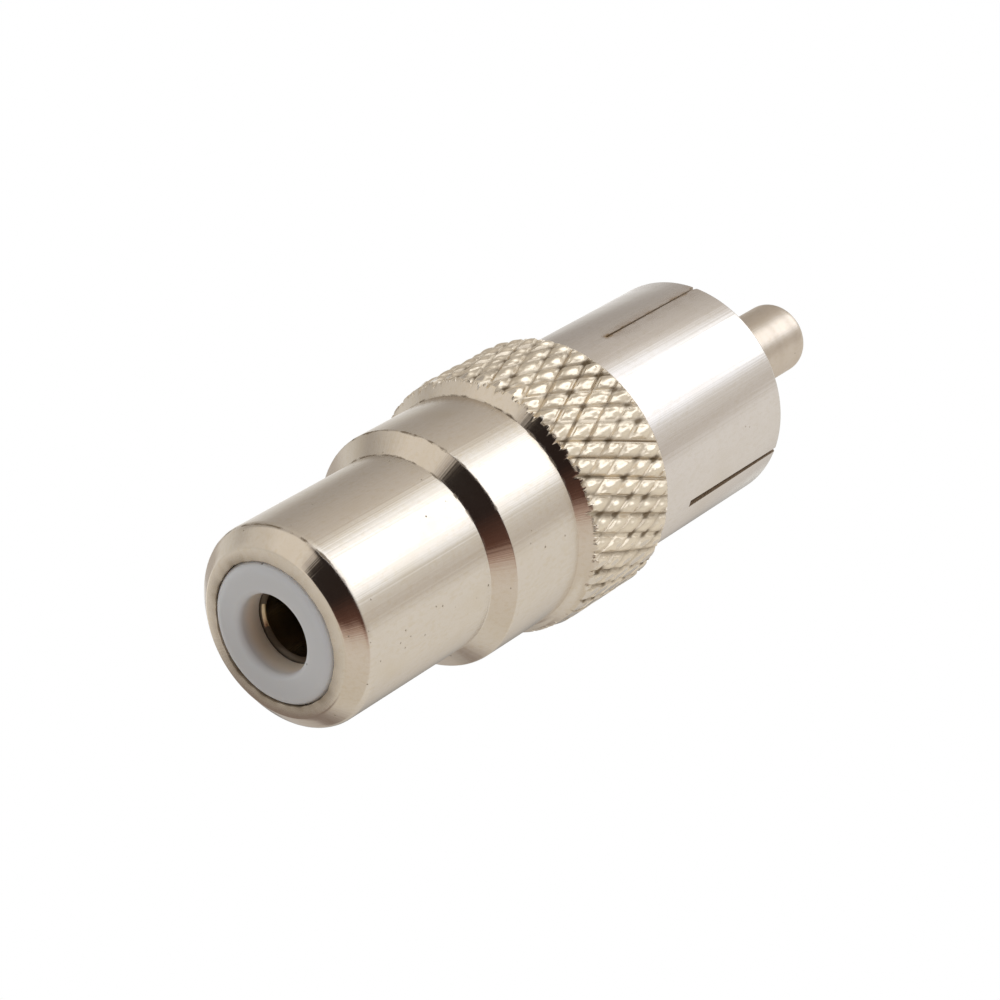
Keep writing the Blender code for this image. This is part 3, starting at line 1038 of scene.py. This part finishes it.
@dataclass
class KnurledCollar(TurnedPiece):
    """The grip collar: a cone at its front, a diamond knurl, and a bevel at its rear.

    Attributes:
        end: Height of its rear face, from the frame.
        radius: Radius over the knurl, from the frame.
        start: Height of the cone's front.
        cone: Length of the cone.
        crowding: How much shorter it is at one side, where the knurl crowds over it.
        run_in: Length over which the knurl's teeth rise to their full height.
        run_in_depth: How much lower the teeth start.
        sag: How much lower the teeth are at one side, where the knurling wheel left off.
        body_radius: Radius of the plain body in front of it.
        inner_radius: Radius inside, where it isn't seen.
        row: Height of a row of facets.
        row_gap: Least distance of a row from the end faces.
        run_out: How far in front of the collar the knurl's lattice starts.
    """

    name: str = "knurled_collar"
    steps: int = COLLAR_STEPS
    end: float = from_frame("jack_body", HIGHEST)
    radius: float = from_frame("jack_body", HIGHEST, "x")
    start: float = 12.41
    cone: float = 0.56
    crowding: float = 0.10
    run_in: float = 0.50
    run_in_depth: float = 0.12
    sag: float = 0.12
    rear_bevel: float = 0.40
    rear_bevel_width: float = 0.32
    body_radius: float = 4.95
    inner_radius: float = 4.83
    row: float = 0.125
    row_gap: float = 0.04
    run_out: float = 0.14

    def corners(self) -> list[Corner]:
        """Outline of the blank, with a corner at each row of the knurl's facets.

        Returns:
            The corners.
        """
        first = self.start - self.run_out
        count = math.ceil((self.end - first) / self.row)
        rows = [first + self.row * step for step in range(count)]
        rows = [h for h in rows if self.start + self.row_gap < h < self.end - self.row_gap]
        return [
            Corner(self.inner_radius, self.start),
            Corner(self.body_radius, self.start),
            *[Corner(self._blank_radius(height), height) for height in rows],
            Corner(self._blank_radius(self.end), self.end, 0.03, 2),
            Corner(self.inner_radius, self.end),
        ]

    def work(self, piece: bpy.types.Object) -> None:
        """Roll the knurl into the blank."""
        self._poke(piece)
        self._roll(piece, DiamondKnurl(self.start - self.run_out))
        shade_smooth(piece, SHARP_TOOTH)

    def _blank_radius(self, height: float) -> float:
        """Radius of the collar before the knurl is rolled."""
        up = (height - self.start) / self.cone
        down = (self.end - height) / self.rear_bevel
        if up < 1:
            return self.body_radius + up * (self.radius - self.body_radius)
        if down < 1:
            return self.radius - (1 - down) * self.rear_bevel_width
        return self.radius

    def _worked_radii(self, angles: np.ndarray, heights: np.ndarray) -> np.ndarray:
        """Radius over the teeth, which is uneven round the collar as on the real one.

        Args:
            angles: Angles round the axis, in degrees.
            heights: Heights along the axis, in millimetres.

        Returns:
            The radii in millimetres.
        """
        turns = np.radians(angles)
        near = smooth_step(np.cos(turns + np.radians(25)), 0.35, 0.85)
        low = smooth_step(np.cos(turns - np.radians(55)), 0.35, 0.9)
        slope = (self.radius - self.body_radius) / self.cone
        cone = self.cone - (self.crowding + 0.02 * np.sin(26 * turns + 1)) * near
        up = np.clip(heights - self.start, 0, cone)
        drop = self.run_in_depth * (1 - near)
        corner = np.minimum(self.body_radius + slope * up, self.radius - drop)
        run_in = self.run_in * (1 - near) + 0.20
        past = smooth_step((heights - self.start - cone) / run_in, 0.0, 1.0)
        radii = corner + (self.radius - corner) * past
        radii -= self.sag * low * smooth_step(heights, self.start, self.start + 0.4)
        down = np.clip(1 - (self.end - heights) / self.rear_bevel, 0, 1)
        return radii - down * self.rear_bevel_width

    def _poke(self, piece: bpy.types.Object) -> None:
        """Split the outer faces at their middles, so that both helices follow edges."""
        select_only(piece)
        bpy.ops.object.mode_set(mode="EDIT")
        bpy.ops.mesh.select_mode(type="FACE")
        bpy.ops.mesh.select_all(action="DESELECT")
        shape = bmesh.from_edit_mesh(piece.data)
        for face in shape.faces:
            middle = face.calc_center_median()
            outside = face.normal.xy.dot(middle.xy) > 0 and abs(face.normal.z) < 0.9
            face.select_set(outside and middle.xy.length > self.body_radius * MM)
        bmesh.update_edit_mesh(piece.data)
        bpy.ops.mesh.poke()
        bpy.ops.object.mode_set(mode="OBJECT")

    def _roll(self, piece: bpy.types.Object, knurl: DiamondKnurl) -> None:
        """Press the knurl into the collar, and note its soil.

        No operator makes crossing helices, so the vertices are moved in code.

        Args:
            piece: The collar's blank.
            knurl: The knurl's form.
        """
        points = coordinates(piece)
        radii, angles = radii_and_angles(points)
        heights = points[:, 2] / MM
        depth, soil_and_shade = knurl.press(angles, heights)
        outside = (radii > self.body_radius + 0.02) & (heights > self.start + 0.02)
        plain_rear = smooth_step(heights, self.end - 0.02, self.end - 0.16)
        pressed = self.radius - depth * plain_rear
        blank = self._worked_radii(angles, heights)
        target = np.where(outside, np.minimum(blank, pressed), radii)
        points[:, :2] *= (target / np.maximum(radii, 1e-6))[:, None]
        move_vertices(piece, points)
        cut = outside & (pressed < blank + 0.02)
        note(piece, "soil_and_shade", np.where(cut, soil_and_shade * plain_rear, 0.0))
        note(piece, "rolled", np.where(cut, 1.0, 0.0))


@dataclass
class PlugSleeve(TurnedPiece):
    """The slotted spring sleeve round the pin.

    Attributes:
        bottom: Height of the spigot's inner end, from the frame.
        top: Height of the rim, from the frame.
        radius: Outer radius.
        bore_radius: Inner radius, which grips the mating barrel.
        spigot_radius: Radius of the spigot in the collar.
        collar_end: Height of the collar's rear face, from the frame.
        seat_gap: Gap between that face and the sleeve's shoulder.
        slot_length: Length of the saw cuts.
        slots: Angle, width at the closed end and width at the rim of each.
        notch: The same of the burred mouth of one cut.
        notch_length: Its length.
        cut_soil: How soiled the bare walls of the cuts are.
    """

    name: str = "slotted_sleeve"
    steps: int = SLEEVE_STEPS
    bottom: float = from_frame("plug_sleeve", LOWEST)
    top: float = from_frame("plug_sleeve", HIGHEST)
    collar_end: float = from_frame("jack_body", HIGHEST)
    seat_gap: float = 0.06
    radius: float = 4.90
    bore_radius: float = 4.15
    spigot_radius: float = 4.60
    slot_length: float = 6.47
    slots: tuple[tuple[float, float, float], ...] = (
        (-90.0, 0.10, 0.08),
        (13.0, 0.34, 0.20),
        (90.0, 0.26, 0.16),
        (193.0, 0.32, 0.20),
    )
    notch: tuple[float, float, float] = (-90.0, 0.08, 0.34)
    notch_length: float = 0.30
    cut_soil: float = 0.85

    def corners(self) -> list[Corner]:
        """Outline of the tube with its spigot.

        Returns:
            The corners.
        """
        shoulder = self.collar_end + self.seat_gap
        return [
            Corner(self.bore_radius, self.bottom),
            Corner(self.spigot_radius, self.bottom),
            Corner(self.spigot_radius, shoulder),
            Corner(self.radius, shoulder, 0.04, 2),
            Corner(self.radius, self.top, 0.12, 5),
            Corner(self.bore_radius, self.top, 0.12, 4),
        ]

    def work(self, piece: bpy.types.Object) -> None:
        """Saw the four slots, and mark their walls as bare, soiled brass."""
        cuts = [(*slot, self.slot_length) for slot in self.slots]
        for angle, inner_width, rim_width, length in (*cuts, (*self.notch, self.notch_length)):
            SawCut(
                angle=angle,
                inner_width=inner_width,
                rim_width=rim_width,
                start=self.top - length,
                end=self.top + 0.1,
                reach=self.radius + 0.5,
            ).cut(piece)
        shade_smooth(piece)
        soil_and_shade = []
        for face in piece.data.polygons:
            outwards = face.center.xy.normalized()
            tangential = abs(outwards.x * face.normal.y - outwards.y * face.normal.x)
            above = face.center.z > (self.top - self.slot_length - 0.1) * MM
            inside = abs(face.normal.z) > 0.9 and face.center.z < (self.top - 0.2) * MM
            soil_and_shade.append(self.cut_soil if above and (tangential > 0.8 or inside) else 0.0)
        note(piece, "soil_and_shade", soil_and_shade, "FACE")


@dataclass
class SocketInsulator(TurnedPiece):
    """The white bush that fills the nose round the socket's mouth.

    Attributes:
        radius: Outer radius.
        mouth_radius: Radius of the hole that the mating pin enters.
        edge: Rounding of the outer edge under the rolled rim.
    """

    name: str = "socket_bush"
    radius: float = 2.95
    edge: float = 0.5
    mouth_radius: float = 1.62
    mouth_rounding: float = 0.25
    mouth_depth: float = 1.14
    contact_bore: float = 2.01
    neck_radius: float = 2.70
    neck_start: float = 11.54
    end: float = from_frame("jack_insulator", HIGHEST)

    def corners(self) -> list[Corner]:
        """Outline of the bush.

        Returns:
            The corners.
        """
        return [
            Corner(self.mouth_radius, 0.0, self.mouth_rounding, 8),
            Corner(self.radius, 0.0, self.edge, 10),
            Corner(self.radius, self.neck_start),
            Corner(self.neck_radius, self.neck_start),
            Corner(self.neck_radius, self.end),
            Corner(self.contact_bore, self.end),
            Corner(self.contact_bore, self.mouth_depth),
            Corner(self.mouth_radius, self.mouth_depth),
        ]


@dataclass
class SocketContact(TurnedPiece):
    """The split tube behind the mouth, which grips the mating pin.

    Attributes:
        front: Height of its front end, from the frame.
        end: Height of its rear end, from the frame.
        radius: Outer radius.
        bore_radius: Inner radius of the gripping fingers.
        cut_angles: Where the saw cuts are, in degrees.
        cut_width: Their width.
        glint: Between which angles the chamfer is left bright and glints.
        front_darkening: How dark the front end is made, and the chamfer outside the glint,
            which is painted shade.
    """

    name: str = "contact_tube"
    front: float = from_frame("socket_contact", LOWEST)
    end: float = from_frame("socket_contact", HIGHEST)
    radius: float = 1.95
    bore_radius: float = 1.44
    flange_radius: float = 2.30
    flange_start: float = 13.66
    flange_length: float = 0.60
    slot_length: float = 6.0
    chamfer: float = 0.12
    cut_angles: tuple[float, float] = (45.0, 225.0)
    cut_width: float = 0.35
    glint: tuple[float, float] = (150.0, 186.0)
    front_darkening: float = 0.8

    def corners(self) -> list[Corner]:
        """Outline of the tube with its flange.

        Returns:
            The corners.
        """
        flange_end = self.flange_start + self.flange_length
        return [
            Corner(self.bore_radius + self.chamfer, self.front, 0.02, 2),
            Corner(self.radius, self.front, 0.05, 3),
            Corner(self.radius, self.flange_start),
            Corner(self.flange_radius, self.flange_start),
            Corner(self.flange_radius, flange_end),
            Corner(self.radius, flange_end),
            Corner(self.radius, self.end),
            Corner(self.bore_radius, self.end),
            Corner(self.bore_radius, self.front + self.chamfer, 0.04, 3),
        ]

    def work(self, piece: bpy.types.Object) -> None:
        """Saw the tube across, darken its front end, and paint shade on its chamfer outside the
        glint.
        """
        face_height = (self.front + 0.05) * MM
        for angle in self.cut_angles:
            SawCut(
                angle=angle,
                inner_width=self.cut_width,
                rim_width=self.cut_width,
                start=self.front - 0.3,
                end=self.front + self.slot_length,
                reach=self.radius + 0.3,
            ).cut(piece)
        shade_smooth(piece)
        soil_and_shade = []
        for face in piece.data.polygons:
            turned = math.degrees(math.atan2(face.center.y, face.center.x)) % 360
            chamfered = face.center.z < (self.front + self.chamfer + 0.03) * MM
            glints = self.glint[0] < turned < self.glint[1]
            # Outside the glint the chamfer is painted dark: painted shade in place of its dark
            # reflection. The front end is darkened too.
            darkened = face.center.z < face_height or (chamfered and not glints)
            soil_and_shade.append(self.front_darkening if darkened else 0.0)
        note(piece, "soil_and_shade", soil_and_shade, "FACE")


@dataclass
class PlugInsulator(TurnedPiece):
    """The white bush in the sleeve's root, round the pin.

    Attributes:
        front: Height of its flange, from the frame.
        face: Height of its face, from the frame.
    """

    name: str = "plug_bush"
    front: float = from_frame("plug_insulator", LOWEST)
    face: float = from_frame("plug_insulator", HIGHEST)
    flange_radius: float = 4.60
    flange_length: float = 1.30
    radius: float = 4.09
    pin_bore: float = 1.65
    contact_bore: float = 2.01
    contact_end: float = 17.01
    recess_radius: float = 2.36
    recess_end: float = 14.32

    def corners(self) -> list[Corner]:
        """Outline of the bush.

        Returns:
            The corners.
        """
        flange_end = self.front + self.flange_length
        return [
            Corner(self.recess_radius, self.front),
            Corner(self.flange_radius, self.front),
            Corner(self.flange_radius, flange_end),
            Corner(self.radius, flange_end),
            Corner(self.radius, self.face, 0.10, 4),
            Corner(self.pin_bore, self.face, 0.08, 4),
            Corner(self.pin_bore, self.contact_end),
            Corner(self.contact_bore, self.contact_end),
            Corner(self.contact_bore, self.recess_end),
            Corner(self.recess_radius, self.recess_end),
        ]


@dataclass
class CentrePin(TurnedPiece):
    """The plug's solid pin.

    Attributes:
        bottom: Height of the tail's end, from the frame.
        top: Height of the tip, from the frame.
        radius: Radius of the pin.
        tail_radius: Radius of the tail in the contact.
        tail_length: Length of the tail.
        tip_rounding: Radius of the rounded tip.
    """

    name: str = "round_nosed_pin"
    bottom: float = from_frame("centre_pin", LOWEST)
    top: float = from_frame("centre_pin", HIGHEST)
    radius: float = 1.59
    tail_radius: float = 1.38
    tail_length: float = 1.20
    tip_rounding: float = 0.60

    def corners(self) -> list[Corner]:
        """Outline of the pin, from the axis to the axis.

        Returns:
            The corners.
        """
        shoulder = self.bottom + self.tail_length
        return [
            Corner(0.0, self.bottom),
            Corner(self.tail_radius, self.bottom),
            Corner(self.tail_radius, shoulder),
            Corner(self.radius, shoulder),
            Corner(self.radius, self.top, self.tip_rounding, 12),
            Corner(0.0, self.top),
        ]


# --------------------------------------------------------------------------- studio


@dataclass(frozen=True)
class Panel:
    """A soft-edged panel on the studio's wall.

    Attributes:
        azimuth: Where it starts, is full, is full still, and ends, in degrees.
        elevation: The same, upwards.
        colour: Its colour.
    """

    azimuth: tuple[float, float, float, float]
    elevation: tuple[float, float, float, float]
    colour: str

    def paint(
        self, nodes: NodeGraph, colour: Socket, azimuth: Socket, elevation: Socket
    ) -> Socket:
        """Put the panel over the room's colour.

        Args:
            nodes: The world's nodes.
            colour: The room's colour so far.
            azimuth: Azimuth in degrees.
            elevation: Elevation in degrees.

        Returns:
            The room's colour with the panel.
        """
        share: Any = 1.0
        for value, limits in ((azimuth, self.azimuth), (elevation, self.elevation)):
            for edge in (limits[:2], limits[:1:-1]):
                inside = nodes.add("MapRange", value, *edge, **EASED)
                share = nodes.add("Math", share, inside, operation="MULTIPLY")
        return nodes.layered(colour, (share, linear(self.colour)))


@dataclass(frozen=True)
class Studio:
    """White room with one softbox, dim side walls and a dark side where the camera stands.

    Azimuths are in degrees from +X, counted towards +Y. The room's colours are at half of
    their brightness, so that its brightest parts can be brighter than white.

    Attributes:
        gain: Brightness of the room's white.
        floor_colour: Colour of the floor.
        floor_size: Its width and length, in metres.
        floor_fade: Distances in metres between which it fades to the white background.
        lamp_azimuth: Where the softbox stands.
        lamp_elevation: How high it stands.
        lamp_distance: Its distance, in metres.
        lamp_width: Its width, in metres.
        lamp_height: Its height, in metres.
        lamp_brightness: How bright its face is, where 1 is white.
        lamp_colour: Its linear colour.
        walls: Colours round the upper room, by azimuth.
        table: Colours round the lower room, by azimuth.
        table_edge: Elevations between which the upper room gives way to the lower.
        panels: What stands against the walls: a brown card, a grey one, a pale one.
        caps: Elevations where the room's bottom and top start and are full, with colours.
    """

    gain: float = 2.0
    floor_colour: str = "#EFEEEC"
    floor_size: float = 2.0
    floor_fade: tuple[float, float] = (0.1, 0.7)
    lamp_azimuth: float = -63.0
    lamp_elevation: float = 46.0
    lamp_distance: float = 0.30
    lamp_width: float = 0.15
    lamp_height: float = 0.22
    lamp_brightness: float = 0.45
    lamp_colour: tuple[float, float, float] = (0.86, 0.94, 1.0)
    walls: tuple[tuple[float, str], ...] = (
        (-180, "#A0A0A0"),
        (-168, "#868483"),
        (-150, "#868483"),
        (-105, "#A2A09F"),
        (-96, "#BBBCBE"),
        (-88, "#D6DDE8"),
        (-78, "#E7ECF8"),
        (-43, "#E7ECF8"),
        (-36, "#D3DAE6"),
        (-26, "#ADAEB0"),
        (-8, "#9C9A99"),
        (8, "#B2B3B5"),
        (60, "#AEAEAE"),
        (90, "#9F9D9B"),
        (126, "#575553"),
        (135, "#6A6866"),
        (145, "#D4D4D4"),
        (158, "#B4B4B4"),
    )
    table: tuple[tuple[float, str], ...] = (
        (-180, "#A0A0A0"),
        (-150, "#A6A4A2"),
        (-136, "#B3B1AF"),
        (-106, "#B3B1AF"),
        (-97.5, "#8E8B8A"),
        (-92.5, "#332E2B"),
        (-87, "#1E1A19"),
        (-40, "#1F1817"),
        (-8, "#46302A"),
        (3, "#85736D"),
        (15, "#A29C98"),
        (30, "#A8A5A3"),
        (70, "#A29F9A"),
        (118, "#A4A3A1"),
        (150, "#A7A6A5"),
    )
    panels: tuple[Panel, ...] = (
        Panel((80, 102, 130, 142), (-46, -32, 6, 11), "#6A625F"),
        Panel((103, 108, 160, 176), (4, 10, 26, 31), "#8F8B88"),
        Panel((94, 106, 128, 136), (46, 51, 88, 89), "#B4B4B2"),
    )
    table_edge: tuple[float, float] = (-6.0, -19.0)
    caps: tuple[tuple[tuple[float, float], str], ...] = (
        ((-74.0, -84.0), "#A5A3A1"),
        ((68.0, 85.0), "#ABABA9"),
    )

    def build(self) -> None:
        """Make the floor, the room and the softbox."""
        bpy.context.scene.view_settings.view_transform = "Standard"
        self._make_floor()
        self._make_room()
        self._make_lamp()

    def _make_floor(self) -> None:
        """A pale sheet just under the part, which only the camera sees, and from above."""
        bpy.ops.object.select_all(action="DESELECT")
        bpy.ops.mesh.primitive_plane_add(size=self.floor_size, location=(0, 0, -0.02 * MM))
        floor = bpy.context.object
        floor.name = "floor"
        material, nodes = new_material("pale_floor")
        sheet = nodes.set_shader({"Base Color": linear(self.floor_colour), "Roughness": 0.8})
        camera_ray = nodes.add("LightPath", output="Is Camera Ray")
        position = nodes.add("NewGeometry", output="Position")
        behind = position.node.outputs["Backfacing"]
        front = nodes.add("Math", 1.0, behind, operation="SUBTRACT")
        share = nodes.add("Math", camera_ray, front, operation="MULTIPLY")
        distance = nodes.add("VectorMath", position, output="Value", operation="LENGTH")
        near = nodes.add("MapRange", distance, *self.floor_fade, 1.0, 0.0, **EASED)
        share = nodes.add("Math", share, near, operation="MULTIPLY")
        mixed = nodes.add("MixShader", share, nodes.add("BsdfTransparent"), sheet)
        nodes.feed(nodes.tree.nodes["Material Output"].inputs["Surface"], mixed)
        floor.data.materials.append(material)
        floor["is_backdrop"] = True

    def _make_room(self) -> None:
        """Paint the room by direction, and leave it white for the camera."""
        world = bpy.data.worlds.new("studio")
        bpy.context.scene.world = world
        world.use_nodes = True
        nodes = NodeGraph(world.node_tree)
        way = nodes.add("TexCoord", output="Generated")
        x, y, z = nodes.add("SeparateXYZ", way).node.outputs
        azimuth = nodes.add("Math", y, x, operation="ARCTAN2")
        azimuth = nodes.add("Math", azimuth, operation="DEGREES")
        elevation = nodes.add("Math", z, operation="ARCSINE")
        elevation = nodes.add("Math", elevation, operation="DEGREES")
        low = nodes.add("MapRange", elevation, *self.table_edge, **EASED)
        colour = nodes.layered(
            self._ramp(nodes, azimuth, self.walls),
            (low, self._ramp(nodes, azimuth, self.table)),
        )
        for panel in self.panels:
            colour = panel.paint(nodes, colour, azimuth, elevation)
        for limits, grey in self.caps:
            share = nodes.add("MapRange", elevation, *limits, **EASED)
            colour = nodes.layered(colour, (share, linear(grey)))
        room = nodes.add("Background", colour, self.gain)
        white = nodes.add("Background", (1, 1, 1, 1), 1.0)
        camera_ray = nodes.add("LightPath", output="Is Camera Ray")
        mixed = nodes.add("MixShader", camera_ray, room, white)
        nodes.feed(nodes.tree.nodes["World Output"].inputs["Surface"], mixed)

    def _ramp(
        self, nodes: NodeGraph, azimuth: Socket, stops: tuple[tuple[float, str], ...]
    ) -> Socket:
        """Colours round the room.

        Args:
            nodes: The world's nodes.
            azimuth: Azimuth in degrees.
            stops: Azimuths in degrees, rising from -180, with their colours.

        Returns:
            The colour.
        """
        colours = nodes.add("ValToRGB", nodes.add("MapRange", azimuth, -180.0, 180.0))
        elements = colours.node.color_ramp.elements
        elements.remove(elements[-1])
        for angle, colour in stops:
            place = (angle + 180) / 360
            stop = elements[0] if place == 0 else elements.new(place)
            stop.position = place
            stop.color = linear(colour)
        elements.new(1.0).color = linear(stops[0][1])
        return colours

    def _make_lamp(self) -> None:
        """The softbox, turned to the adapter's middle."""
        lamp = bpy.data.lights.new("softbox", "AREA")
        lamp.shape = "RECTANGLE"
        lamp.size = self.lamp_width
        lamp.size_y = self.lamp_height
        lamp.color = self.lamp_colour
        lamp.energy = self.lamp_brightness * math.pi * self.lamp_width * self.lamp_height
        made = bpy.data.objects.new("softbox", lamp)
        bpy.context.scene.collection.objects.link(made)
        low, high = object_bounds()
        way = direction(self.lamp_azimuth, self.lamp_elevation)
        made.location = (low + high) / 2 + way * self.lamp_distance
        made.rotation_mode = "QUATERNION"
        made.rotation_quaternion = way.to_track_quat("Z", "Y")


@dataclass(frozen=True)
class ProductCamera:
    """The photograph's camera, from a fit to the edges of the turned parts.

    Attributes:
        lens: Focal length, in millimetres.
        sensor_width: Width of the sensor, in millimetres.
        clipping: Nearest and furthest distance that it sees, in metres.
        aim_height: Height on the axis that it looks at, in millimetres.
        distance: Distance from there, in millimetres.
        azimuth: Azimuth from +X, in degrees.
        elevation: Elevation, in degrees. It is below the part.
        roll: Turn about its own line of sight, in degrees.
    """

    lens: float = 108.0
    sensor_width: float = 36.0
    clipping: tuple[float, float] = (0.001, 10.0)
    aim_height: float = 13.816
    distance: float = 120.30
    azimuth: float = -44.157
    elevation: float = -44.748
    roll: float = 59.29

    def build(self) -> None:
        """Make the camera and use it."""
        back = direction(self.azimuth, self.elevation)
        data = bpy.data.cameras.new("camera")
        data.lens = self.lens
        data.sensor_width = self.sensor_width
        data.clip_start, data.clip_end = self.clipping
        camera = bpy.data.objects.new("camera", data)
        bpy.context.scene.collection.objects.link(camera)
        camera.location = Vector((0, 0, self.aim_height * MM)) + back * self.distance * MM
        camera.rotation_mode = "QUATERNION"
        aimed = back.to_track_quat("Z", "Y")
        camera.rotation_quaternion = aimed @ Quaternion((0, 0, 1), math.radians(self.roll))
        bpy.context.scene.camera = camera


# --------------------------------------------------------------------------- assembly


def dress(
    piece: bpy.types.Object, node: str, material: bpy.types.Material
) -> None:
    """Put a finished piece in the place of its CAD node.

    Args:
        piece: The finished piece.
        node: The CAD node that it stands for.
        material: Its finish.
    """
    piece.data.materials.clear()
    piece.data.materials.append(material)
    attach(piece, ROOT_BODY)
    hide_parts(node)
    LOG.info("%s: %d faces", piece.name, len(piece.data.polygons))


def main() -> None:
    """Build the adapter's pieces, the studio and the camera."""
    logging.basicConfig(level=logging.INFO, format="%(message)s")
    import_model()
    body_plating = NickelPlating(
        "nickel_plated_body", shaded_corners=(0.85, 7.87, 8.54, 12.41)
    ).build()
    collar_plating = NickelPlating(
        "nickel_plated_knurl", shaded_corners=(12.41,), anisotropy=0.2
    ).build()
    sleeve_plating = NickelPlating(
        "nickel_plated_sleeve",
        "#DCD2C6",
        "#CFC2AE",
        "#8A6F4B",
        pit_spacing=1.0,
        stained_from=20.6,
    ).build()
    pin_plating = NickelPlating(
        "nickel_plated_pin", "#D8C9B6", "#C6B394", roughness=0.34, chatter_height=0.004
    ).build()
    contact_plating = NickelPlating(
        "dull_plated_contact", "#B5A283", "#8C7250", "#3A2E24", roughness=0.2
    ).build()
    plastic = MouldedPlastic("moulded_white_polypropylene").build()
    dress(JackShell().build(), "jack_body", body_plating)
    dress(KnurledCollar().build(), "jack_body", collar_plating)
    dress(PlugSleeve().build(), "plug_sleeve", sleeve_plating)
    dress(SocketInsulator().build(), "jack_insulator", plastic)
    dress(SocketContact().build(), "socket_contact", contact_plating)
    dress(PlugInsulator().build(), "plug_insulator", plastic)
    dress(CentrePin().build(), "centre_pin", pin_plating)
    Studio().build()
    ProductCamera().build()


if __name__ == "__main__":
    main()
